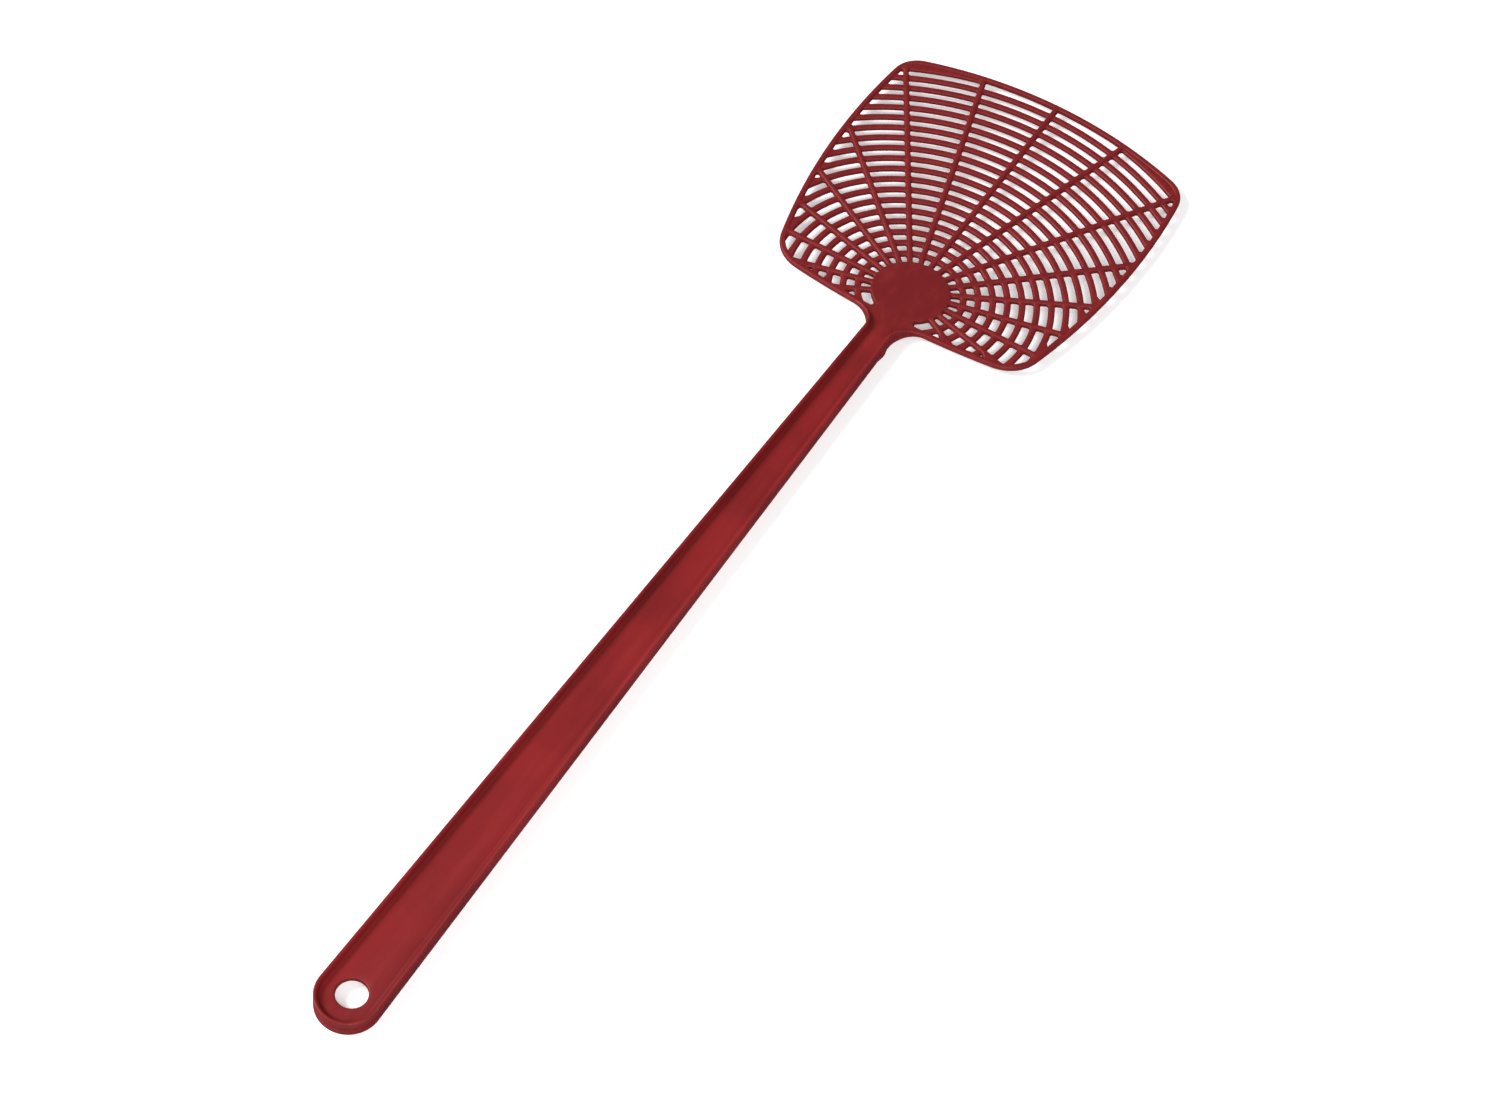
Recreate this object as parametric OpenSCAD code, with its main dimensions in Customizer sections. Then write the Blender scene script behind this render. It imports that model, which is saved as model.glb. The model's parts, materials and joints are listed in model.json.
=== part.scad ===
// Moulded plastic fly swatter: a tapered I-section handle with a hang hole, and a flat
// spider-web head of spokes and concentric rings inside a rounded four-sided rim.
// Millimetres. +Y runs along the handle towards the head, +X across it and +Z up.
// The origin is under the middle of the length, on the surface that the swatter lies on.

/* [Overall] */
// Length from the end of the grip to the far edge of the head
overall_length = 445; // [425:5:465]
// Height of the handle from its lower lip to its upper lip
handle_height = 6; // [5:0.5:8]
// Thickness of the flat web, hub, neck and rim
plate_thickness = 2; // [1.8:0.1:2.6]

/* [Handle] */
// Width of the handle at the grip
grip_width = 20; // [18:0.5:24]
// Width of the handle where the neck starts
neck_width = 10; // [9:0.5:12]
// Width of the raised lips along the handle's edges
lip_width = 1.8; // [1.4:0.1:2.4]
// Radius of the fillets that flare the neck into the head
neck_fillet = 9; // [7:0.5:10]
// Diameter of the hang hole
hang_hole_diameter = 9.5; // [6:0.5:11]
// Distance from the end of the grip to the centre of the hang hole
hang_hole_inset = 11.5; // [10:0.5:14]

/* [Head outline] */
// Distance from the hub to the far edge
far_reach = 109; // [108:0.5:112]
// Distance from the hub to the near edge
near_reach = 15.2; // [14.6:0.2:16]
// Widest distance across the head
head_width = 116.4; // [115:0.2:120]
// Distance of the widest place from the hub
widest_at = 65; // [60:1:70]
// Width of the rim
rim_width = 2; // [1.8:0.1:2.6]
// Radius of the two far corners
far_corner_radius = 11; // [10:0.5:13]
// Radius of the two near corners
near_corner_radius = 14; // [12:0.5:15]

/* [Web of spokes and rings] */
// Radius of the solid hub disc
hub_radius = 13.6; // [12.5:0.1:14]
// Width of a spoke
spoke_width = 2; // [1.6:0.1:2.4]
// Angle between neighbouring spokes
spoke_step = 15; // [14:0.25:15.25]
// Radius of the innermost ring at the middle of its width
first_ring_radius = 18; // [17.5:0.1:18.5]
// Distance from one ring to the next
ring_pitch = 5; // [4.9:0.02:5.04]
// Width of a ring
ring_width = 2.3; // [1.8:0.1:2.6]
// Thickness of the rings
ring_thickness = 1.5; // [1.2:0.1:1.8]

/* [Hidden] */
RING_COUNT = 18;
SPOKE_COUNT = 17;
function two_digits(number) = str(number < 10 ? "0" : "", number);

RED = [0.55, 0.15, 0.15];
CIRCLE_FN = 96;
// Steps that the long shallow arcs and the tight corner arcs are drawn with
LONG_ARC_STEPS = 20;
CORNER_ARC_STEPS = 14;
// Longer than the head, for shapes that are cut back to it
BEYOND = 160;

mid_z = handle_height / 2;
hub_y = overall_length / 2 - far_reach;
plate_top = plate_thickness / 2;
// The spokes and rings share a flat underside, and the spokes stand level with the plate
lattice_base = -ring_thickness / 2;

// The rim's four sides are shallow arcs
FAR_ARC_RADIUS = 145;
NEAR_ARC_RADIUS = 280;
SIDE_ARC_RADIUS = 268;
far_arc_centre = [0, far_reach - FAR_ARC_RADIUS];
near_arc_centre = [0, NEAR_ARC_RADIUS - near_reach];
side_arc_centre = [head_width / 2 - SIDE_ARC_RADIUS, widest_at];

// Where two circles meet, on the right of the line from the first centre to the second
function circles_meet(a, ra, b, rb) =
    let (gap = norm(b - a), along = (b - a) / gap)
    let (reach = (gap * gap + ra * ra - rb * rb) / (2 * gap))
    a + reach * along + sqrt(ra * ra - reach * reach) * [along[1], -along[0]];

// The corner arcs touch a long arc and a side arc from inside
far_corner = circles_meet(far_arc_centre, FAR_ARC_RADIUS - far_corner_radius,
                          side_arc_centre, SIDE_ARC_RADIUS - far_corner_radius);
near_corner = circles_meet(side_arc_centre, SIDE_ARC_RADIUS - near_corner_radius,
                           near_arc_centre, NEAR_ARC_RADIUS - near_corner_radius);

function bearing(from, to) = atan2(to[1] - from[1], to[0] - from[0]);
function mirrored(points) = [for (i = [len(points) - 1:-1:0]) [-points[i][0], points[i][1]]];

// Points of an arc, without its last one, which the next arc starts with
function arc(centre, radius, from, to, steps) =
    [for (i = [0:steps - 1])
        let (angle = from + (to - from) * i / steps)
        centre + radius * [cos(angle), sin(angle)]];

// Right half of the head's outline, from the middle of the near edge to the far edge
function head_half(inset) =
    let (near_turn = bearing(near_arc_centre, near_corner))
    let (side_low = bearing(side_arc_centre, near_corner))
    let (side_high = bearing(side_arc_centre, far_corner))
    let (far_turn = bearing(far_arc_centre, far_corner))
    concat(
        arc(near_arc_centre, NEAR_ARC_RADIUS - inset, -90, near_turn, LONG_ARC_STEPS),
        arc(near_corner, near_corner_radius - inset, near_turn, side_low, CORNER_ARC_STEPS),
        arc(side_arc_centre, SIDE_ARC_RADIUS - inset, side_low, side_high, LONG_ARC_STEPS),
        arc(far_corner, far_corner_radius - inset, side_high, far_turn, CORNER_ARC_STEPS),
        arc(far_arc_centre, FAR_ARC_RADIUS - inset, far_turn, 90, LONG_ARC_STEPS));

module head_outline(inset = 0) {
    right = head_half(inset);
    // The near edge's middle point is the first one and belongs to both halves
    left = mirrored([for (i = [1:len(right) - 1]) right[i]]);
    far_middle = [[0, far_reach - inset]];
    polygon(concat(right, far_middle, left));
}

// The handle runs from the neck to a round grip end
neck_half = neck_width / 2;
grip_radius = grip_width / 2;
// Fillet circles touch the handle's sides and the head's near edge
fillet_x = neck_half + neck_fillet;
fillet_reach = NEAR_ARC_RADIUS + neck_fillet;
neck_y = near_arc_centre[1] - sqrt(fillet_reach * fillet_reach - fillet_x * fillet_x);
flare_half = fillet_x * NEAR_ARC_RADIUS / fillet_reach;
flare_y = near_arc_centre[1] - sqrt(NEAR_ARC_RADIUS * NEAR_ARC_RADIUS - flare_half * flare_half);
// The neck plate narrows to this half width between the rim and the hub
gusset_half = 8;
grip_end_y = far_reach - overall_length;
grip_centre = [0, grip_end_y + grip_radius];
hang_hole_y = grip_end_y + hang_hole_inset;
// The straight lips stop and the lip round the grip's end begins a little above its centre
lip_split_y = grip_centre[1] + 4;

module handle_outline(inset = 0) {
    radius = grip_radius - inset;
    start = [neck_half - inset, neck_y];
    tangent = bearing(grip_centre, start) - acos(radius / norm(start - grip_centre));
    polygon(concat(
        [start, [-start[0], start[1]]],
        arc(grip_centre, radius, 180 - tangent, 360 + tangent, 2 * LONG_ARC_STEPS),
        [grip_centre + radius * [cos(tangent), sin(tangent)]]));
}

// Extrudes a shape drawn about the hub between two heights from the middle plane
module slab(low, high) {
    color(RED)
        translate([0, hub_y, mid_z + low])
            linear_extrude(high - low)
                children();
}

module lip_band() {
    difference() {
        handle_outline();
        handle_outline(lip_width);
    }
}

// A straight lip lies along one edge: side is 1 for the right and -1 for the left
module straight_lip(side) {
    intersection() {
        lip_band();
        translate([side * BEYOND / 2, lip_split_y + overall_length / 2])
            square([BEYOND, overall_length], center = true);
    }
}

module end_lip() {
    intersection() {
        lip_band();
        translate([0, lip_split_y - BEYOND / 2])
            square(BEYOND, center = true);
    }
}

module upper_lip(side) {
    slab(plate_top, mid_z) straight_lip(side);
}

module upper_lip_end() {
    slab(plate_top, mid_z) end_lip();
}

module lower_lip(side) {
    slab(-mid_z, -plate_top) straight_lip(side);
}

module lower_lip_end() {
    slab(-mid_z, -plate_top) end_lip();
}

module handle_web() {
    slab(-plate_top, plate_top)
        difference() {
            handle_outline();
            translate([0, hang_hole_y])
                circle(d = hang_hole_diameter, $fn = CIRCLE_FN);
        }
}

module gusset_strip() {
    translate([-gusset_half, neck_y])
        square([2 * gusset_half, -neck_y]);
}

module hub_circle() {
    circle(hub_radius, $fn = CIRCLE_FN);
}

// Flat plate that carries the handle's web through the near edge to the hub
module neck_plate() {
    slab(-plate_top, plate_top)
        difference() {
            union() {
                gusset_strip();
                translate([-flare_half, neck_y])
                    square([2 * flare_half, -neck_y - hub_radius]);
            }
            for (side = [-1, 1])
                translate([side * fillet_x, neck_y])
                    circle(neck_fillet, $fn = CIRCLE_FN);
            hub_circle();
            difference() {
                head_outline(rim_width);
                gusset_strip();
            }
        }
}

// Rib that carries a handle lip round the neck fillet and sinks to the level of the rim
module upper_neck_rib(side) {
    rise = mid_z - plate_top;
    run = flare_y - neck_y;
    color(RED)
        translate([0, hub_y, mid_z])
            intersection() {
                translate([0, 0, plate_top])
                    linear_extrude(rise)
                        difference() {
                            translate([side * fillet_x, neck_y])
                                circle(neck_fillet + lip_width, $fn = CIRCLE_FN);
                            translate([side * fillet_x, neck_y])
                                circle(neck_fillet, $fn = CIRCLE_FN);
                            translate([-BEYOND / 2, neck_y - BEYOND])
                                square(BEYOND);
                            translate([side * (flare_half + BEYOND / 2), 0])
                                square(BEYOND, center = true);
                        }
                rotate([90, 0, 90])
                    linear_extrude(BEYOND, center = true)
                        polygon([
                            [neck_y, plate_top], [flare_y + lip_width, plate_top],
                            [flare_y + lip_width, plate_top + rise / 8],
                            [neck_y + run / 6, plate_top + rise], [neck_y, plate_top + rise]
                        ]);
            }
}

module lower_neck_rib(side) {
    translate([0, 0, handle_height])
        mirror([0, 0, 1])
            upper_neck_rib(side);
}

module hub_disc() {
    slab(-plate_top, plate_top) hub_circle();
}

module head_rim() {
    slab(-plate_top, plate_top)
        difference() {
            head_outline();
            head_outline(rim_width);
            translate([-flare_half, -BEYOND])
                square([2 * flare_half, BEYOND]);
        }
}

// The part of the plane that spokes and rings may fill
module web_field() {
    difference() {
        head_outline(rim_width);
        hub_circle();
        gusset_strip();
    }
}

// The middle spoke points straight away from the handle
function spoke_angle(index) = 90 + (index - (SPOKE_COUNT + 1) / 2) * spoke_step;

module spoke_strip(index) {
    rotate(spoke_angle(index))
        translate([0, -spoke_width / 2])
            square([BEYOND, spoke_width]);
}

// Spokes are counted anticlockwise from the short one beside the neck on the right
module spoke(index) {
    slab(lattice_base, plate_top)
        intersection() {
            web_field();
            spoke_strip(index);
        }
}

module ring_band(radius) {
    difference() {
        circle(radius + ring_width / 2, $fn = 2 * CIRCLE_FN);
        circle(radius - ring_width / 2, $fn = 2 * CIRCLE_FN);
    }
}

// Rings are counted outwards, and each is a row of separate bars between the spokes
module ring(index) {
    slab(lattice_base, -lattice_base)
        difference() {
            intersection() {
                web_field();
                ring_band(first_ring_radius + (index - 1) * ring_pitch);
            }
            for (spoke = [1:SPOKE_COUNT])
                spoke_strip(spoke);
        }
}

// One bar more in each far corner, which runs into the far edge of the rim
module corner_ring() {
    inner_spoke = 90 - spoke_step;
    outer_spoke = inner_spoke - spoke_step;
    slab(lattice_base, -lattice_base)
        for (side = [0, 1])
            mirror([side, 0])
                intersection() {
                    web_field();
                    ring_band(first_ring_radius + RING_COUNT * ring_pitch);
                    difference() {
                        polygon([
                            [0, 0],
                            BEYOND * [cos(inner_spoke), sin(inner_spoke)],
                            BEYOND * [cos(outer_spoke), sin(outer_spoke)]
                        ]);
                        for (angle = [inner_spoke, outer_spoke])
                            rotate(angle)
                                translate([0, -spoke_width / 2])
                                    square([BEYOND, spoke_width]);
                    }
                }
}

handle_web();
upper_lip(-1);  // upper_lip_left
upper_lip(1);  // upper_lip_right
upper_lip_end();
lower_lip(-1);  // lower_lip_left
lower_lip(1);  // lower_lip_right
lower_lip_end();
neck_plate();
upper_neck_rib(-1);  // neck_rib_upper_left
upper_neck_rib(1);  // neck_rib_upper_right
lower_neck_rib(-1);  // neck_rib_lower_left
lower_neck_rib(1);  // neck_rib_lower_right
hub_disc();
head_rim();
for (index = [1:SPOKE_COUNT])
    spoke(index);
for (index = [1:RING_COUNT])
    ring(index);
corner_ring();
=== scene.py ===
"""Looks of a moulded plastic fly swatter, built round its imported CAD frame.

Shapes are worked out in millimetres about the middle of the hub, with z from the middle plane of
the moulding, and put into the row frame in metres when a piece is made.
"""

import json
from math import acos, asin, atan2, ceil, cos, degrees, pi, radians, sin, sqrt

import bmesh
import bpy
import numpy as np
from mathutils import Matrix, Vector, noise


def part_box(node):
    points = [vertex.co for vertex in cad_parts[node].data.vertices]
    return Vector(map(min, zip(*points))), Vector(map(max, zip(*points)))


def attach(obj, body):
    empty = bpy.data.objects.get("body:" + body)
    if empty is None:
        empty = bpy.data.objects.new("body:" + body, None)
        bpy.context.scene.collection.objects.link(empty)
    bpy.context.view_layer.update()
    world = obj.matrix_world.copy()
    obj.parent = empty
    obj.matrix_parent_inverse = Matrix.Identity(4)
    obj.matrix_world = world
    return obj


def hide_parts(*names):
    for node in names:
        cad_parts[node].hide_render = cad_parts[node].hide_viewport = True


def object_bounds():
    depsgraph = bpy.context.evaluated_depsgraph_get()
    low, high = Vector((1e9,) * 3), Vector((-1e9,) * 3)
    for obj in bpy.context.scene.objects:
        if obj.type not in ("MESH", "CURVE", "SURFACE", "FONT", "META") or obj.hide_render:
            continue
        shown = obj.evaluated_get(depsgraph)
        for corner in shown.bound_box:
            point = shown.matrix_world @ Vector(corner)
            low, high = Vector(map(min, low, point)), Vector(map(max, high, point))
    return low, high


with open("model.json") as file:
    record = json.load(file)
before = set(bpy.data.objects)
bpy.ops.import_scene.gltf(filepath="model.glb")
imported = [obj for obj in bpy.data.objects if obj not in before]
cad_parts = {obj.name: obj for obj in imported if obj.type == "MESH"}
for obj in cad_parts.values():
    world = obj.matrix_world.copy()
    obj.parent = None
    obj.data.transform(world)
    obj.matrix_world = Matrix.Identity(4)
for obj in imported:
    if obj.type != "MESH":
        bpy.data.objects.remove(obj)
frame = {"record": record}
CAD_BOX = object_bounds()
MM = 0.001

# ---------------------------------------------------------------- sizes, read from the frame


def box_mm(node):
    """Lowest and highest corner of a CAD node, in millimetres of the row frame."""
    low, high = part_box(node)
    return low / MM, high / MM


HUB_LOW, HUB_HIGH = box_mm("hub_disc")
HUB_Y = (HUB_LOW.y + HUB_HIGH.y) / 2
MID_Z = (HUB_LOW.z + HUB_HIGH.z) / 2
HUB_RADIUS = (HUB_HIGH.x - HUB_LOW.x) / 2
PLATE = (HUB_HIGH.z - HUB_LOW.z) / 2
LIP_TOP = box_mm("upper_lip_left")[1].z - MID_Z
LATTICE_BASE = box_mm("spoke_09")[0].z - MID_Z
RING_TOP = box_mm("ring_01")[1].z - MID_Z
SPOKE_WIDTH = box_mm("spoke_09")[1].x - box_mm("spoke_09")[0].x
FAR_REACH = CAD_BOX[1].y / MM - HUB_Y
GRIP_END = CAD_BOX[0].y / MM - HUB_Y
HEAD_HALF_WIDTH = box_mm("head_rim")[1].x
GRIP_RADIUS = box_mm("handle_web")[1].x
NECK_Y = box_mm("handle_web")[1].y - HUB_Y
LIP_SPLIT_Y = box_mm("upper_lip_left")[0].y - HUB_Y
FLARE_HALF = box_mm("neck_plate")[1].x
MOUNTS = {mount["name"]: mount for mount in frame["record"]["mounts"]}
HOLE_Y = MOUNTS["hang_hole"]["pos_m"][1] / MM - HUB_Y
HOLE_RADIUS = MOUNTS["hang_hole"]["dims"]["r_mm"]

# The arcs of the head's outline and the web's spacing, as in the CAD source
FAR_ARC, NEAR_ARC, SIDE_ARC = 145.0, 280.0, 268.0
NEAR_REACH, WIDEST_AT = 15.2, 65.0
FAR_CORNER, NEAR_CORNER = 11.0, 14.0
RIM_WIDTH, RING_WIDTH = 2.0, 2.3
NECK_HALF, NECK_FILLET = 5.0, 9.0
GUSSET_HALF = 8.0
RING_COUNT, SPOKE_COUNT = 18, 17
FIRST_RING, RING_PITCH = 18.0, 5.0
SPOKE_STEP = 15.0

# ---------------------------------------------------------------- plan curves


def spot(angle, radius=1.0, centre=(0.0, 0.0)):
    """Point at an angle in degrees on a circle."""
    turn = radians(angle)
    return Vector((centre[0] + radius * cos(turn), centre[1] + radius * sin(turn)))


def bearing(start, end):
    return degrees(atan2(end[1] - start[1], end[0] - start[0]))


def circles_meet(a, ra, b, rb):
    """Where two circles meet, on the right of the line from the first centre to the second."""
    gap = (b - a).length
    along = (b - a) / gap
    reach = (gap * gap + ra * ra - rb * rb) / (2 * gap)
    return a + reach * along + sqrt(ra * ra - reach * reach) * Vector((along.y, -along.x))


FAR_CENTRE = Vector((0.0, FAR_REACH - FAR_ARC))
NEAR_CENTRE = Vector((0.0, NEAR_ARC - NEAR_REACH))
SIDE_CENTRE = Vector((HEAD_HALF_WIDTH - SIDE_ARC, WIDEST_AT))
FAR_TURN = circles_meet(FAR_CENTRE, FAR_ARC - FAR_CORNER, SIDE_CENTRE, SIDE_ARC - FAR_CORNER)
NEAR_TURN = circles_meet(SIDE_CENTRE, SIDE_ARC - NEAR_CORNER, NEAR_CENTRE, NEAR_ARC - NEAR_CORNER)
FILLET_CENTRE = Vector((NECK_HALF + NECK_FILLET, NECK_Y))
FLARE = NEAR_CENTRE + Vector((FLARE_HALF, -sqrt(NEAR_ARC ** 2 - FLARE_HALF ** 2)))


def arc_path(centre, radius, start, end, step, inward=1):
    """(point, unit normal into the plastic) along an arc, both ends included. step is in mm."""
    count = max(2, ceil(abs(radians(end - start)) * radius / step))
    path = []
    for i in range(count + 1):
        angle = start + (end - start) * i / count
        path.append((spot(angle, radius, centre), -inward * spot(angle)))
    return path


def joined(*parts):
    """Paths end to end, without the points that they share."""
    path = list(parts[0])
    for part in parts[1:]:
        path += part[1:]
    return path


def mirrored(path):
    return [(Vector((-p.x, p.y)), Vector((-n.x, n.y))) for p, n in reversed(path)]


def head_half(first=-90.0, long_step=1.6, corner_step=0.8):
    """Right half of the head's outline from the near edge to the middle of the far edge."""
    near_turn = bearing(NEAR_CENTRE, NEAR_TURN)
    side_low, side_high = bearing(SIDE_CENTRE, NEAR_TURN), bearing(SIDE_CENTRE, FAR_TURN)
    far_turn = bearing(FAR_CENTRE, FAR_TURN)
    return joined(
        arc_path(NEAR_CENTRE, NEAR_ARC, first, near_turn, long_step),
        arc_path(NEAR_TURN, NEAR_CORNER, near_turn, side_low, corner_step),
        arc_path(SIDE_CENTRE, SIDE_ARC, side_low, side_high, long_step),
        arc_path(FAR_TURN, FAR_CORNER, side_high, far_turn, corner_step),
        arc_path(FAR_CENTRE, FAR_ARC, far_turn, 90.0, long_step),
    )


RIGHT_EDGE = head_half()
HEAD_EDGE = joined(RIGHT_EDGE, mirrored(RIGHT_EDGE))


class PolarLimit:
    """The head's outline, inset, as the distance from the hub at an angle, with its polyline."""

    def __init__(self, inset):
        points = [p + inset * n for p, n in HEAD_EDGE]
        self.xy = np.array([[p.x, p.y] for p in points])
        angles = np.unwrap(np.arctan2(self.xy[:, 1], self.xy[:, 0]))
        self.angles, self.radii = np.degrees(angles), np.hypot(self.xy[:, 0], self.xy[:, 1])

    def radius(self, angle):
        return float(np.interp((angle + 90.0) % 360.0 - 90.0, self.angles, self.radii))

    def depth(self, point):
        """Distance of a point inside the curve, negative outside it."""
        a, b = self.xy[:-1], self.xy[1:]
        along = b - a
        rel = np.array([point.x, point.y]) - a
        share = np.clip((rel * along).sum(1) / (along ** 2).sum(1), 0, 1)
        gap = float(np.hypot(*(rel - along * share[:, None]).T).min())
        inside = point.length < self.radius(bearing((0, 0), point))
        return gap if inside else -gap


RIM_MIDDLE = PolarLimit(RIM_WIDTH / 2)
RIM_INNER = PolarLimit(RIM_WIDTH)

# ---------------------------------------------------------------- meshes

SHARP_ANGLE = radians(46)
# Points this close become one, and slivers thinner than this go, in metres
MERGE_GAP, SLIVER = 2e-7, 1e-7
# Keeps the way in at a sharp corner of a plate from running far out
MITRE_LIMIT = 0.3
# Most of a bar's half width that a rounding or the draft takes
ROUND_SHARE, DRAFT_SHARE = 0.85, 0.1


def ease(value):
    """Smooth step from 0 to 1."""
    value = min(1.0, max(0.0, value))
    return value * value * (3 - 2 * value)


def mix(a, b, share):
    return a + (b - a) * share


class Shape:
    """Vertices in millimetres about the hub, their faces, and how much each one shows wear."""

    def __init__(self):
        self.points, self.faces, self.wear = [], [], []

    def add(self, point, wear=0.0):
        self.points.append(point)
        self.wear.append(wear)
        return len(self.points) - 1

    def loop(self, ring):
        return [self.add(point, wear) for point, wear in ring]

    def tube(self, rings):
        """Skin over a row of closed rings with the same number of points, with both ends capped."""
        loops = [self.loop(ring) for ring in rings]
        for a, b in zip(loops, loops[1:]):
            self.band(a, b)
        self.faces.append(list(reversed(loops[0])))
        self.faces.append(loops[-1])

    def band(self, a, b):
        for i in range(len(a)):
            j = (i + 1) % len(a)
            self.faces.append([a[i], a[j], b[j], b[i]])

    def plate(self, outline, height, guard=0.25, steps=4):
        """Flat plate between -height and height. The outline runs anticlockwise and holds, for each
        corner, its point, the radius that its edge is rounded by, and the way in or None.
        A narrow flat border keeps the shading of the flat faces flat."""
        count = len(outline)
        inward = []
        for i, (point, _, way_in) in enumerate(outline):
            before = (point - outline[i - 1][0]).normalized()
            after = (outline[(i + 1) % count][0] - point).normalized()
            a, b = Vector((-before.y, before.x)), Vector((-after.y, after.x))
            inward.append(way_in or (a + b) / max(MITRE_LIMIT, 1 + a.dot(b)))
        turns = [i * pi / 2 / steps for i in range(steps + 1)]
        # Share of the radius that a section lies inward and below the flat face, and its border
        sections = [(1 - cos(turn), 1 - sin(turn), 0.0) for turn in turns] + [(1.0, 0.0, guard)]
        loops = []
        for side in (1, -1):
            made = []
            for inward_share, down_share, border in sections:
                ring = []
                for (point, radius, _), normal in zip(outline, inward):
                    p = point + normal * (radius * inward_share + border)
                    ring.append(((p.x, p.y, side * (height - radius * down_share)), 0.0))
                made.append(self.loop(ring))
            loops.append(made)
        top, bottom = loops
        for a, b in zip(top, top[1:]):
            self.band(a, b)
        for a, b in zip(bottom, bottom[1:]):
            self.band(b, a)
        self.band(bottom[0], top[0])
        self.faces.append(top[-1])
        self.faces.append(list(reversed(bottom[-1])))

    def make(self, node, material):
        """Piece with this shape, which stands for the CAD node."""
        mesh = bpy.data.meshes.new(node)
        points = [(x * MM, (y + HUB_Y) * MM, (z + MID_Z) * MM) for x, y, z in self.points]
        mesh.from_pydata(points, [], self.faces)
        mesh.attributes.new("wear", "FLOAT", "POINT").data.foreach_set("value", self.wear)
        built = bmesh.new()
        built.from_mesh(mesh)
        bmesh.ops.remove_doubles(built, verts=built.verts, dist=MERGE_GAP)
        bmesh.ops.dissolve_degenerate(built, edges=built.edges, dist=SLIVER)
        bmesh.ops.triangulate(built, faces=[f for f in built.faces if len(f.verts) > 4])
        bmesh.ops.recalc_face_normals(built, faces=built.faces)
        for face in built.faces:
            face.smooth = True
        for edge in built.edges:
            edge.smooth = edge.calc_face_angle(0.0) < SHARP_ANGLE
        built.to_mesh(mesh)
        built.free()
        piece = bpy.data.objects.new(f"{node}_moulded", mesh)
        bpy.context.scene.collection.objects.link(piece)
        mesh.materials.append(material)
        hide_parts(node)
        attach(piece, "root")


def round_corner(x, z, radius, start, end, steps):
    """Points of a corner's arc from one angle to the other, in degrees."""
    angles = [radians(start + (end - start) * i / steps) for i in range(steps + 1)]
    return [(x + radius * cos(a), z + radius * sin(a)) for a in angles]


def strand_section(inner, outer, low, high, top=0.62, bottom=0.32, draft=0.05, crown=0.05):
    """(x, z, wear) round a rounded bar that leans in a little towards its crowned top."""
    half = (outer - inner) / 2
    top, bottom = min(top, ROUND_SHARE * half), min(bottom, ROUND_SHARE * half)
    draft = min(draft, DRAFT_SHARE * half)
    shoulder = high - crown
    ring = round_corner(inner + bottom, low + bottom, bottom, 180, 270, 3)
    ring += round_corner(outer - bottom, low + bottom, bottom, 270, 360, 3)
    ring += round_corner(outer - draft - top, shoulder - top, top, 0, 90, 4)
    ring.append(((inner + outer) / 2, high))
    ring += round_corner(inner + draft + top, shoulder - top, top, 90, 180, 4)
    return [(x, z, 1.0 if z > high - 0.5 * top else 0.0) for x, z in ring]


# ---------------------------------------------------------------- spokes and rings

FILLET = 0.55
# Slopes are measured over this distance either way, and kept between these values
PROBE, LEAST_SLOPE, MOST_SLOPE = 0.05, 0.05, 0.98
# How fast a bar widens past its fillet to fill the tip of a narrow corner, and how much nearer the
# rim has to be on one side of a spoke than on the other for the corner there to count as narrow
TIP_GROWTH, NARROW_BY = 1.5, 0.02
# Stands for no spoke at all when distances are compared
FAR_AWAY = 1e3
# A ring bar stops where less than this much of its width is left inside the rim's middle line, and
# a run that is shorter than the second number is left out
RUN_LEFT, SHORTEST_RUN = 0.3, 0.6
RUN_SAMPLES = 240
# An open sector has a spoke at one end only and is searched this far, in degrees
OPEN_SECTOR = SPOKE_STEP * 3
# How close to its spoke, in degrees, a run has to begin or end
TOUCH = 0.5
# Along a ring bar, stations lie close together this near to a spoke and to the rim
FINE_AT_SPOKE, FINE_AT_RIM = 1.6, 5.0
# The same along a spoke, at its start in the hub and at its end in the rim
FINE_AT_HUB, FINE_AT_SPOKE_END = 2.0, 6.0
# The tops and bottoms of the lattice's parts differ a little, so that no two share a plane
RING_BASE, RING_CREST, SPOKE_CREST = LATTICE_BASE + 0.02, RING_TOP - 0.03, PLATE - 0.015
# A spoke starts this far inside the hub's edge, is followed this far past the rim's middle and is
# cut off there along this many lanes, down to the least width
SPOKE_ROOT, SPOKE_OVERRUN, SPOKE_LANES, LEAST_WIDTH = 0.7, 2.0, 60, 0.3


def past_fillet(clearance, slope):
    """How far along an edge a point lies beyond where the corner's fillet starts."""
    return (FILLET - clearance) / max(slope, LEAST_SLOPE)


def fillet_width(past, grow=0.0):
    """How much wider a bar is at that distance. grow fills the tip of a narrow corner."""
    if past <= 0:
        return 0.0
    if past < FILLET:
        return FILLET - sqrt(FILLET ** 2 - past ** 2)
    return FILLET + grow * (past - FILLET)


def rim_fillet(clearance, slope, narrow):
    """How much wider a bar is on one side where it runs into the rim. The tip of a narrow corner
    is filled, and in a wide corner the fillet ends where it touches the rim."""
    past = past_fillet(clearance, slope)
    if narrow:
        return fillet_width(past, TIP_GROWTH)
    return fillet_width(min(past, FILLET * min(slope, MOST_SLOPE)))


def spoke_angle(index):
    return 90 + (index - (SPOKE_COUNT + 1) / 2) * SPOKE_STEP


def spoke_gap(point, angle):
    """Distance from a point to the side of a spoke."""
    across = point.x * -sin(radians(angle)) + point.y * cos(radians(angle))
    along = point.x * cos(radians(angle)) + point.y * sin(radians(angle))
    return abs(across) - SPOKE_WIDTH / 2 if along > 0 else FAR_AWAY


def slope_of(measure):
    """Value of measure(0), and how fast it changes with distance."""
    return measure(0.0), abs(measure(PROBE) - measure(-PROBE)) / (2 * PROBE)


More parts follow.
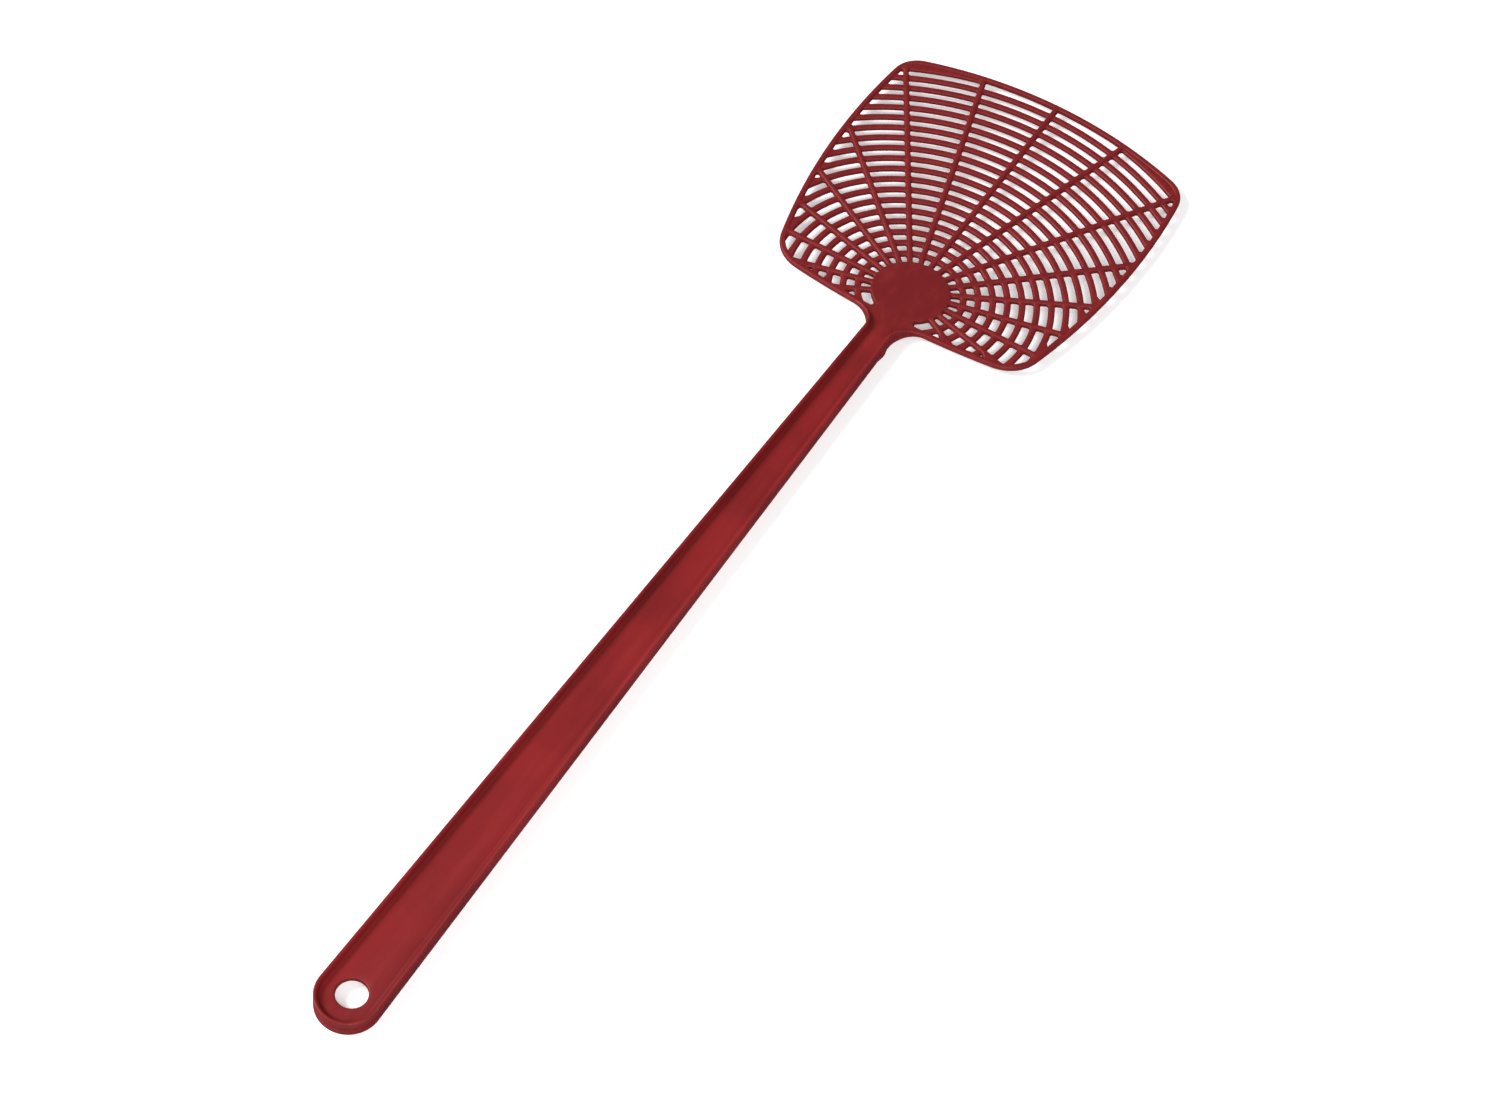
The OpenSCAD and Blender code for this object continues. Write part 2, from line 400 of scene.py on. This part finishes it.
def spaced(start, end, fine_start, fine_end, fine=0.22, coarse=2.4):
    """Distances from start to end, close together near each end."""
    places = [start]
    while places[-1] < end - 1e-6:
        here = places[-1]
        near = here - start < fine_start or end - here < fine_end + fine
        step = fine if near else min(coarse, max(fine, end - fine_end - here))
        places.append(min(end, here + step))
    if len(places) > 2 and places[-1] - places[-2] < fine / 2:
        places.pop(-2)
    return places


def ring_runs(radius, first, last):
    """(angles, at_first, at_last) of each run of a ring between two spokes that lies in the head.
    None for a spoke means that the sector is open there, and only the run at the other spoke
    counts. The flags say whether the run starts at the first spoke and ends at the last."""
    sink = degrees(asin(SPOKE_WIDTH / 4 / radius))
    has_first, has_last = first is not None, last is not None
    start = first + sink if has_first else last - OPEN_SECTOR
    end = last - sink if has_last else first + OPEN_SECTOR
    run, runs = [], []
    for i in range(RUN_SAMPLES + 1):
        angle = start + (end - start) * i / RUN_SAMPLES
        left = RIM_MIDDLE.radius(angle) > radius - RING_WIDTH / 2 + RUN_LEFT
        if left and -90 < angle < 270:
            run.append(angle)
        elif run:
            runs.append(run)
            run = []
    runs += [run] if run else []
    if not has_first:
        runs = [r for r in runs if r[-1] > end - TOUCH]
    if not has_last:
        runs = [r for r in runs if r[0] < start + TOUCH]
    runs = [r for r in runs if radians(r[-1] - r[0]) * radius >= SHORTEST_RUN]
    return [(r, r[0] == start and has_first, r[-1] == end and has_last) for r in runs]


def ring_edge(radius, angle, outward, spokes):
    """Distance from the hub of a ring bar's outer or inner edge, with its fillets."""
    per_mm = degrees(1 / radius)
    lane = radius + outward * (RING_WIDTH / 2 + FILLET)

    def to_spoke(step):
        point = spot(angle + step * per_mm, lane)
        return min(spoke_gap(point, spoke) for spoke in spokes)

    def to_rim(step):
        return RIM_INNER.depth(spot(angle + step * per_mm, lane))

    wide = min(FILLET, fillet_width(past_fillet(*slope_of(to_spoke))))
    wide = max(wide, rim_fillet(*slope_of(to_rim), outward > 0))
    return radius + outward * (RING_WIDTH / 2 + wide)


def ring_bars(radius, sectors):
    """The bars of one ring: each runs between two spokes or from a spoke to the rim."""
    shape = Shape()
    per_mm = degrees(1 / radius)
    for first, last in sectors:
        spokes = [spoke for spoke in (first, last) if spoke is not None]
        for run, at_first, at_last in ring_runs(radius, first, last):
            fine_start = FINE_AT_SPOKE if at_first else FINE_AT_RIM
            fine_end = FINE_AT_SPOKE if at_last else FINE_AT_RIM
            rings = []
            for place in spaced(run[0] / per_mm, run[-1] / per_mm, fine_start, fine_end):
                angle = place * per_mm
                inner = ring_edge(radius, angle, -1, spokes)
                outer = min(ring_edge(radius, angle, 1, spokes), RIM_MIDDLE.radius(angle))
                section = strand_section(inner, outer, RING_BASE, RING_CREST)
                turn = spot(angle)
                rings.append([((turn.x * r, turn.y * r, z), wear) for r, z, wear in section])
            shape.tube(rings)
    return shape


def spoke_edge(turn, aside, place, side):
    """Distance of a spoke's edge from its middle line, with its fillets at the hub and the rim."""
    half = SPOKE_WIDTH / 2

    def to_rim(step, lane=side):
        return RIM_INNER.depth(turn * (place + step) + aside * lane * (half + FILLET))

    hub_gap = (turn * place + aside * side * (half + FILLET)).length - HUB_RADIUS
    wide = min(FILLET, fillet_width(past_fillet(hub_gap, 1.0)))
    narrow = to_rim(0.0) < to_rim(0.0, -side) - NARROW_BY
    wide = max(wide, rim_fillet(*slope_of(to_rim), narrow))
    return side * (half + wide)


def spoke_bar(angle):
    """One spoke, from inside the hub's rounded edge to the middle of the rim."""
    shape = Shape()
    turn, aside = spot(angle), spot(angle + 90)
    reach = RIM_MIDDLE.radius(angle) + SPOKE_OVERRUN
    rings = []
    for place in spaced(HUB_RADIUS - SPOKE_ROOT, reach, FINE_AT_HUB, FINE_AT_SPOKE_END):
        edges = [spoke_edge(turn, aside, place, side) for side in (-1, 1)]
        kept = []
        for i in range(SPOKE_LANES + 1):
            lane = mix(edges[0], edges[1], i / SPOKE_LANES)
            point = turn * place + aside * lane
            if point.length < RIM_MIDDLE.radius(bearing((0, 0), point)):
                kept.append(lane)
        if len(kept) < 2 or kept[-1] - kept[0] < LEAST_WIDTH:
            break
        ring = []
        for lane, z, wear in strand_section(kept[0], kept[-1], LATTICE_BASE, SPOKE_CREST):
            point = turn * place + aside * lane
            ring.append(((point.x, point.y, z), wear))
        rings.append(ring)
    shape.tube(rings)
    return shape


# ---------------------------------------------------------------- handle, neck, hub and rim

GRIP_CENTRE = Vector((0.0, GRIP_END + GRIP_RADIUS))
NECK_CORNER = Vector((NECK_HALF, NECK_Y))
TANGENT = bearing(GRIP_CENTRE, NECK_CORNER) - degrees(
    acos(GRIP_RADIUS / (NECK_CORNER - GRIP_CENTRE).length)
)
SIDE_START = spot(TANGENT, GRIP_RADIUS, GRIP_CENTRE)
WEB_INSET = 0.22
RIM_ROUND, HUB_ROUND = 0.6, 0.55
# How far in a lip's inner slope reaches the web at the grip's end and at the neck
SLOPE_AT_GRIP, SLOPE_AT_NECK = 2.6, 2.1
# A lip's outer top edge: its radius and how far in the arc's centre lies
EDGE_ROUND, EDGE_CENTRE = 0.33, 0.35
# A lip's crest starts to turn down here, over this width and height, into a cove of this height
CREST_START, CREST_WIDTH, CREST_FALL, COVE_HEIGHT = 0.4, 1.05, 1.25, 0.7
# A lip's foot and the rim's edge run on under the next piece by about this much
UNDERLAP = 0.15
# Where a sliver of flash stands out from the right edge, how far it reaches along it either way,
# and its width
FLASH_Y, FLASH_REACH, FLASH_WIDTH = NECK_Y - 4.2, 2.8, 1.4
FLASH_STEP = 0.5
# Height over which the flash thins out on the upper and on the lower lip
FLASH_FADE = {1: 1.6, -1: 4.5}
# A lip's outer wall and most of the rounding above it are the points before this one
WALL_POINTS = 9
# The hub's edge is square up to this angle either side of the neck, and round this much further on
HUB_SQUARE, HUB_EASE = 31, 6
# The web's faces sink by these into a shallow dish and by soft unevenness. Both fade to nothing
# over the last length, at the neck and at the grip's end
DISH_DEPTH, UNEVEN_DEPTH, LEVEL_REACH = 0.06, 0.03, 14


def side_point(y):
    share = (y - SIDE_START.y) / (NECK_CORNER.y - SIDE_START.y)
    return mix(SIDE_START, NECK_CORNER, share)


def side_path(low, high, step=4.0):
    """The handle's right side from one y to another, upwards."""
    count = max(1, ceil((high - low) / step))
    path = []
    for i in range(count + 1):
        y = mix(low, high, i / count)
        way_in = Vector((-1.0, 0.0)) if y > NECK_Y - 0.01 else -spot(TANGENT)
        path.append((side_point(y), way_in))
    return path


def slope_end(y):
    """How far in from the edge a lip's inner slope reaches the web: more towards the grip."""
    return mix(SLOPE_AT_GRIP, SLOPE_AT_NECK, ease((y - GRIP_END) / (NECK_Y - GRIP_END)))


def lip_section(foot, fade=0.0):
    """(inset, z, wear) round the upper lip. At fade 1 it is the top half of the rim's outer edge.
    Both have as many points, so that one can turn into the other."""
    # The parting groove and the outer wall
    lip = [(WEB_INSET, 0.1, 0), (0.07, 0.12, 0), (0.0, 0.24, 0), (0.0, 1.2, 0), (0.02, 2.0, 0)]
    corner = round_corner(EDGE_CENTRE, LIP_TOP - EDGE_ROUND, EDGE_ROUND, 180, 90, 5)
    lip += [(e, z, 0.8 if 0 < i < 5 else 0.3) for i, (e, z) in enumerate(corner)]
    # The crest turns down and inwards along a quarter of an ellipse, into a cove that meets the web
    for angle in (68, 46, 25, 8):
        turn = radians(angle)
        level = LIP_TOP - CREST_FALL * (1 - sin(turn))
        lip.append((CREST_START + CREST_WIDTH * cos(turn), level, 0.2))
    for i in range(1, 7):
        share = i / 6
        level = PLATE + COVE_HEIGHT * (1 - share) ** 2
        lip.append((mix(CREST_START + CREST_WIDTH, foot, share), level, 0))
    lip += [(foot + UNDERLAP, PLATE - 0.03, 0), (foot + UNDERLAP, 0.4, 0)]
    edge = [(0.02, 0.0, 0), (0.01, 0.02, 0), (0.0, 0.1, 0), (0.0, 0.25, 0), (0.0, 0.35, 0)]
    corner = round_corner(RIM_ROUND, PLATE - RIM_ROUND, RIM_ROUND, 180, 90, 5)
    edge += [(e, z, 1.0) for e, z in corner]
    edge += [(mix(0.61, 0.75, i / 9), PLATE, 0) for i in range(10)]
    edge += [(0.8, PLATE - 0.03, 0), (0.8, 0.0, 0)]
    return [tuple(mix(a, b, fade) for a, b in zip(*pair)) for pair in zip(lip, edge)]


def lip_ring(point, way_in, section, side):
    ring = []
    for inset, z, wear in section:
        p = point + way_in * inset
        ring.append(((p.x, p.y, side * z), wear))
    return ring


def with_flash(section, y, side):
    """A lip's section whose outer wall bulges where the sliver of flash stands out."""
    share = max(0.0, 1 - abs(y - FLASH_Y) / FLASH_REACH)
    bulge = FLASH_WIDTH * sqrt(share) * (0.75 + 0.5 * noise.noise(Vector((0, y, 3))))
    wall = [
        (e - bulge * max(0.0, 1 - z / FLASH_FADE[side]), z, w) for e, z, w in section[1:WALL_POINTS]
    ]
    return section[:1] + wall + section[WALL_POINTS:]


def straight_lip(side, mirror):
    """A lip along one side, above the web or below it. The right ones have the flash."""
    shape = Shape()
    path = side_path(LIP_SPLIT_Y, NECK_Y)
    if not mirror:
        near = side_path(FLASH_Y - FLASH_REACH, FLASH_Y + FLASH_REACH, FLASH_STEP)
        path = [s for s in path if abs(s[0].y - FLASH_Y) > FLASH_REACH + FLASH_STEP] + near
        path.sort(key=lambda station: station[0].y)
    rings = []
    for point, way_in in path:
        section = lip_section(slope_end(point.y))
        if mirror:
            point, way_in = Vector((-point.x, point.y)), Vector((-way_in.x, way_in.y))
        else:
            section = with_flash(section, point.y, side)
        rings.append(lip_ring(point, way_in, section, side))
    shape.tube(rings)
    return shape


def end_path():
    """The handle's edge round the grip's end, from the right lip's split to the left one's."""
    down = list(reversed(side_path(SIDE_START.y, LIP_SPLIT_Y, 1.3)))
    bend = arc_path(GRIP_CENTRE, GRIP_RADIUS, TANGENT, -90.0, 0.7)
    right = joined(down, bend)
    return joined(right, mirrored(right))


def end_lip(side):
    shape = Shape()
    shape.tube([lip_ring(p, n, lip_section(slope_end(p.y)), side) for p, n in end_path()])
    return shape


def fillet_path():
    flare_angle = bearing(FILLET_CENTRE, FLARE)
    return arc_path(FILLET_CENTRE, NECK_FILLET, 180.0, flare_angle, 0.6, inward=-1)


def neck_rib(side, mirror):
    """The lip's end, which follows the fillet and sinks until it is the edge of the rim."""
    shape = Shape()
    path = fillet_path()
    rings = []
    for i, (point, way_in) in enumerate(path):
        if mirror:
            point, way_in = Vector((-point.x, point.y)), Vector((-way_in.x, way_in.y))
        section = lip_section(slope_end(NECK_Y), ease(i / (len(path) - 1)))
        rings.append(lip_ring(point, way_in, section, side))
    shape.tube(rings)
    return shape


def neck_outline():
    """Right half of the neck plate's outline, anticlockwise from the handle to the hub."""
    path = fillet_path()
    last = len(path) - 1
    half = []
    for i, (point, way_in) in enumerate(path):
        half.append((point + way_in * mix(WEB_INSET, 0.75, ease(i / last)), 0.0, None))
    half[-1] = (half[-1][0], 0.0, Vector((0.0, 0.0)))
    inner = [
        (p + n * RIM_WIDTH, n)
        for p, n in arc_path(NEAR_CENTRE, NEAR_ARC, bearing(NEAR_CENTRE, FLARE), -90.0, 0.8)
    ]
    corner_x = GUSSET_HALF + FILLET
    inner = [(p, n) for p, n in inner if p.x > corner_x + 0.2]
    for i, (point, n) in enumerate(inner):
        half.append((point, RIM_ROUND, -n if i == 0 else None))
    level = inner[-1][0].y
    for angle in range(270, 179, -18):
        half.append((spot(angle, FILLET, (corner_x, level + FILLET)), RIM_ROUND, None))
    hub_angle = -degrees(acos(GUSSET_HALF / HUB_RADIUS))
    half.append((spot(hub_angle, HUB_RADIUS), RIM_ROUND, -spot(hub_angle + 90)))
    for i in range(10):
        half.append((spot(mix(hub_angle - 6, -90, i / 10), HUB_RADIUS), 0.0, None))
    return half


def neck_plate():
    shape = Shape()
    right = neck_outline()
    middle = [(spot(-90, HUB_RADIUS), 0.0, None)]
    left = []
    for point, radius, way_in in reversed(right):
        flipped = way_in and Vector((-way_in.x, way_in.y))
        left.append((Vector((-point.x, point.y)), radius, flipped))
    shape.plate(right + middle + left, PLATE)
    return shape


def hub_disc():
    """Round plate whose edge is rounded where it is open, and square where the neck joins it."""
    shape = Shape()
    outline = []
    for i in range(180):
        angle = -90 + i * 2
        aside = abs((angle + 90 + 180) % 360 - 180)
        rounding = HUB_ROUND * ease((aside - HUB_SQUARE) / HUB_EASE)
        outline.append((spot(angle, HUB_RADIUS), rounding, None))
    shape.plate(outline, PLATE)
    return shape


def head_rim():
    shape = Shape()
    first = bearing(NEAR_CENTRE, FLARE)
    right = head_half(first)
    section = strand_section(0.0, RIM_WIDTH, -PLATE, PLATE, RIM_ROUND, RIM_ROUND, 0.0, 0.0)
    shape.tube([lip_ring(p, n, section, 1) for p, n in joined(right, mirrored(right))])
    return shape


def web_relief(x, y):
    """How far the web's face lies below its highest: a shallow dish with soft unevenness."""
    half = side_point(max(y, SIDE_START.y)).x
    dish = DISH_DEPTH * max(0.0, 1 - (x / half) ** 2)
    soft = UNEVEN_DEPTH * (0.6 + noise.noise(Vector((x / 9, y / 24, 1.5))))
    level = ease((NECK_Y - y) / LEVEL_REACH) * ease((y - GRIP_END) / LEVEL_REACH)
    return (dish + soft) * level


def handle_web():
    """The handle's flat web: rows of faces along it and a ring of faces round the hang hole."""
    columns, hole_steps, hole_round = 12, 6, 0.45
    join_y = HOLE_Y + 15
    shape = Shape()
    tops = []

    def add(x, y, level=None):
        tops.append((x, y, PLATE - web_relief(x, y) if level is None else level))
        return len(tops) - 1

    rows = []
    for point, way_in in side_path(join_y, NECK_Y, 3.0):
        edge = point + way_in * WEB_INSET
        rows.append([add(mix(edge.x, -edge.x, i / columns), edge.y) for i in range(columns + 1)])
    faces = []
    for a, b in zip(rows, rows[1:]):
        for i in range(columns):
            faces.append([a[i + 1], a[i], b[i], b[i + 1]])
    down = list(reversed(side_path(SIDE_START.y, join_y, 2.0)))
    right = joined(down, arc_path(GRIP_CENTRE, GRIP_RADIUS, TANGENT, -90.0, 0.8))
    round_end = [p + n * WEB_INSET for p, n in joined(right, mirrored(right))][1:-1]
    edge_loop = [rows[0][0]] + [add(p.x, p.y) for p in round_end] + list(reversed(rows[0]))[:-1]
    outer = [Vector(tops[i][:2]) for i in edge_loop]
    hole = Vector((0.0, HOLE_Y))
    loops = [edge_loop]
    for step in range(1, hole_steps + 1):
        loop = []
        for point in outer:
            ring_point = hole + (point - hole).normalized() * (HOLE_RADIUS + hole_round)
            place = mix(point, ring_point, step / hole_steps)
            loop.append(add(place.x, place.y))
        loops.append(loop)
    for turn in (0.5, 1.0, 1.5):
        angle = turn * pi / 3
        loop = []
        for i, point in zip(loops[hole_steps], outer):
            out = HOLE_RADIUS + hole_round * (1 - sin(angle))
            place = hole + (point - hole).normalized() * out
            level = tops[i][2] - hole_round * (1 - cos(angle))
            loop.append(add(place.x, place.y, level))
        loops.append(loop)
    for a, b in zip(loops, loops[1:]):
        for i in range(len(a)):
            j = (i + 1) % len(a)
            faces.append([a[i], b[i], b[j], a[j]])
    count = len(tops)
    for side in (1, -1):
        for x, y, z in tops:
            shape.add((x, y, side * z))
    shape.faces += faces
    shape.faces += [[i + count for i in reversed(face)] for face in faces]
    rim = [row[0] for row in reversed(rows)] + edge_loop[1:len(round_end) + 1]
    rim += [row[-1] for row in rows] + list(reversed(rows[-1]))[1:-1]
    for loop in (rim, loops[-1]):
        shape.band(loop, [i + count for i in loop])
    return shape


# ---------------------------------------------------------------- materials

RED = (0.20, 0.0062, 0.0072, 1)
RED_PALE = (0.26, 0.015, 0.016, 1)
# Deep red of the cloud, the specks and the painted shade towards the hub
RED_DEEP = (0.13, 0.0045, 0.006, 1)
PAPER, PAPER_PALE = (0.90, 0.90, 0.90, 1), (0.93, 0.93, 0.93, 1)
PAPER_IN_GLOSS = (0.10, 0.10, 0.10, 1)
# The floor glows a little, so that it stays pale in the soft light
PAPER_GLOW = 0.35


class Nodes:
    """Small helper that adds and links shader nodes."""

    def __init__(self, tree):
        self.tree = tree
        tree.nodes.clear()

    def add(self, kind, links=None, **settings):
        node = self.tree.nodes.new("ShaderNode" + kind)
        for key, value in settings.items():
            setattr(node, key, value)
        for key, value in (links or {}).items():
            socket = node.inputs[key]
            if isinstance(value, bpy.types.NodeSocket):
                self.tree.links.new(value, socket)
            else:
                socket.default_value = value
        return node

    def noise(self, coords, size, detail=2.0, stretch=(1, 1, 1), roughness=0.5):
        """Noise whose features are about size metres across, stretched along the axes."""
        scale = [1 / (size * s) for s in stretch]
        place = self.add("Mapping", {"Vector": coords, "Scale": scale})
        links = {"Vector": place.outputs[0], "Scale": 1.0, "Detail": detail, "Roughness": roughness}
        return self.add("TexNoise", links).outputs["Fac"]

    def span(self, value, low, high, to_low, to_high):
        """Value from low to high, turned into to_low to to_high."""
        links = {0: value, 1: low, 2: high, 3: to_low, 4: to_high}
        return self.add("MapRange", links, interpolation_type="SMOOTHSTEP").outputs[0]

    def math(self, operation, a, b=0.0, c=0.0):
        return self.add("Math", {0: a, 1: b, 2: c}, operation=operation).outputs[0]

    def blend(self, share, a, b):
        node = self.add("Mix", data_type="RGBA")
        for socket, value in zip((node.inputs[0], node.inputs[6], node.inputs[7]), (share, a, b)):
            if isinstance(value, bpy.types.NodeSocket):
                self.tree.links.new(value, socket)
            else:
                socket.default_value = value
        return node.outputs[2]


def moulded_plastic(name, streak_length, grain, rub):
    """Satin coloured polypropylene: cloudy colour, flow lines, fine grain and rubbed edges, with
    painted shade that deepens the red from the neck to the hub and over the whole head.
    """
    material = bpy.data.materials.new(name)
    material.use_nodes = True
    nodes = Nodes(material.node_tree)
    coords = nodes.add("TexCoord").outputs["Object"]
    cloud = nodes.noise(coords, 0.035, 3.0)
    flow = nodes.noise(coords, 0.004, 3.0, (1, streak_length, 1), 0.6)
    speck = nodes.noise(coords, 0.0007, 2.0)
    grit = nodes.noise(coords, 0.00028, 3.0, (1, 1, 1), 0.6)
    scratch = nodes.noise(coords, 0.0011, 2.0, (1, 9, 1))
    along = nodes.add("SeparateXYZ", {"Vector": coords}).outputs["Y"]
    # Painted shade: the red deepens from the neck towards the hub and stays deep over the whole
    # head
    painted_hub_shade = nodes.span(along, (HUB_Y - 36) * MM, (HUB_Y - 10) * MM, 0.0, 0.85)
    # The darker of the random cloud tone and the painted shade
    cloud_and_hub_shade = nodes.math("MAXIMUM", painted_hub_shade, nodes.span(cloud, 0.35, 0.65, 0.7, 0.0))
    tone = nodes.blend(cloud_and_hub_shade, RED, RED_DEEP)
    tone = nodes.blend(nodes.span(flow, 0.45, 0.8, 0.0, 0.35), tone, RED_PALE)
    tone = nodes.blend(nodes.span(speck, 0.60, 0.78, 0.0, 0.25), tone, RED_DEEP)
    edge = nodes.add("Attribute", attribute_name="wear").outputs["Fac"]
    worn = nodes.math("MULTIPLY", edge, nodes.span(scratch, 0.42, 0.66, 0.15 * rub, 0.75 * rub))
    tone = nodes.blend(worn, tone, RED_PALE)
    rough = nodes.span(cloud, 0.3, 0.7, 0.52, 0.60)
    rough = nodes.math("ADD", rough, nodes.span(flow, 0.3, 0.8, -0.03, 0.06))
    rough = nodes.math("ADD", rough, nodes.math("MULTIPLY", worn, -0.08))
    relief = nodes.math("MULTIPLY", grit, grain)
    relief = nodes.math("ADD", relief, nodes.math("MULTIPLY", flow, 0.35))
    bump = nodes.add("Bump", {"Strength": 0.35, "Distance": 0.00006, "Height": relief})
    shader = nodes.add(
        "BsdfPrincipled",
        {
            "Base Color": tone,
            "Roughness": rough,
            "Normal": bump.outputs[0],
            "IOR": 1.49,
            "Specular IOR Level": 0.3,
            "Subsurface Weight": 0.0,
        },
    )
    output = nodes.add("OutputMaterial")
    material.node_tree.links.new(shader.outputs[0], output.inputs["Surface"])
    return material


def floor_material():
    material = bpy.data.materials.new("floor_paper")
    material.use_nodes = True
    nodes = Nodes(material.node_tree)
    coords = nodes.add("TexCoord").outputs["Object"]
    cloud = nodes.noise(coords, 0.2, 2.0)
    paper = nodes.blend(nodes.span(cloud, 0.2, 0.8, 0.0, 1.0), PAPER, PAPER_PALE)
    # The floor is dark in the plastic's own reflections, as a polarising filter would show it
    glare = nodes.add("LightPath").outputs["Is Glossy Ray"]
    tone = nodes.blend(glare, paper, PAPER_IN_GLOSS)
    shader = nodes.add(
        "BsdfPrincipled",
        {
            "Base Color": tone,
            "Roughness": 0.9,
            "Specular IOR Level": 0.1,
            "Emission Color": (1, 1, 1, 1),
            "Emission Strength": nodes.math("MULTIPLY_ADD", glare, -PAPER_GLOW, PAPER_GLOW),
        },
    )
    output = nodes.add("OutputMaterial")
    material.node_tree.links.new(shader.outputs[0], output.inputs["Surface"])
    return material


# ---------------------------------------------------------------- stage

SENSOR_WIDTH, LENS = 36.0, 77.18
CAMERA_PLACE = (0.2589, -0.5794, 0.8011)
CAMERA_RIGHT, CAMERA_UP = Vector((0.85422, 0.51054, 0.09833)), Vector((-0.4586, 0.6507, 0.6052))
FLOOR_HALF = 3.0
SKY, SKY_STRENGTH = (0.97, 0.98, 1.0, 1), 0.28


def make_camera():
    data = bpy.data.cameras.new("camera")
    data.sensor_width, data.lens = SENSOR_WIDTH, LENS
    data.clip_start, data.clip_end = 0.05, 20.0
    camera = bpy.data.objects.new("camera", data)
    bpy.context.scene.collection.objects.link(camera)
    back = CAMERA_RIGHT.cross(CAMERA_UP)
    rotation = Matrix((CAMERA_RIGHT, CAMERA_UP, back)).transposed().to_4x4()
    camera.matrix_world = Matrix.Translation(CAMERA_PLACE) @ rotation
    bpy.context.scene.camera = camera


def area_light(name, place, size, power):
    """Soft round lamp that shines at the middle of the swatter."""
    data = bpy.data.lights.new(name, "AREA")
    data.shape, data.size, data.energy = "DISK", size, power
    light = bpy.data.objects.new(name, data)
    light.location = place
    light.rotation_mode = "QUATERNION"
    light.rotation_quaternion = (-Vector(place)).to_track_quat("-Z", "Y")
    bpy.context.scene.collection.objects.link(light)


def make_stage():
    mesh = bpy.data.meshes.new("floor")
    corners = [(x * FLOOR_HALF, y * FLOOR_HALF, 0) for x, y in ((-1, -1), (1, -1), (1, 1), (-1, 1))]
    mesh.from_pydata(corners, [], [(0, 1, 2, 3)])
    floor = bpy.data.objects.new("floor", mesh)
    bpy.context.scene.collection.objects.link(floor)
    mesh.materials.append(floor_material())
    world = bpy.data.worlds.new("world")
    world.use_nodes = True
    world.node_tree.nodes["Background"].inputs["Color"].default_value = SKY
    world.node_tree.nodes["Background"].inputs["Strength"].default_value = SKY_STRENGTH
    bpy.context.scene.world = world
    area_light("key", (-1.32, -0.56, 1.10), 0.9, 43.0)
    area_light("front", (0.9, -1.0, 1.0), 1.2, 21.0)
    bpy.context.scene.view_settings.view_transform = "Standard"


# ---------------------------------------------------------------- the swatter

make_camera()
make_stage()

# Length of the flow streaks, depth of the grain and how rubbed the edges are
HANDLE_RED = moulded_plastic("handle_plastic", 14.0, 1.0, 1.0)
LATTICE_RED = moulded_plastic("lattice_plastic", 2.0, 0.7, 0.35)


def make_handle():
    handle_web().make("handle_web", HANDLE_RED)
    for level, side in (("upper", 1), ("lower", -1)):
        for hand, mirror in (("right", False), ("left", True)):
            straight_lip(side, mirror).make(f"{level}_lip_{hand}", HANDLE_RED)
            neck_rib(side, mirror).make(f"neck_rib_{level}_{hand}", HANDLE_RED)
        end_lip(side).make(f"{level}_lip_end", HANDLE_RED)
    neck_plate().make("neck_plate", LATTICE_RED)


def make_head():
    hub_disc().make("hub_disc", LATTICE_RED)
    head_rim().make("head_rim", LATTICE_RED)
    angles = [spoke_angle(index) for index in range(1, SPOKE_COUNT + 1)]
    for index, angle in enumerate(angles, 1):
        spoke_bar(angle).make(f"spoke_{index:02d}", LATTICE_RED)
    sectors = list(zip([None] + angles, angles + [None]))
    for index in range(1, RING_COUNT + 1):
        radius = FIRST_RING + (index - 1) * RING_PITCH
        ring_bars(radius, sectors).make(f"ring_{index:02d}", LATTICE_RED)
    far_corners = [(60.0, 75.0), (105.0, 120.0)]
    corner_radius = FIRST_RING + RING_COUNT * RING_PITCH
    ring_bars(corner_radius, far_corners).make("corner_ring", LATTICE_RED)


make_handle()
make_head()
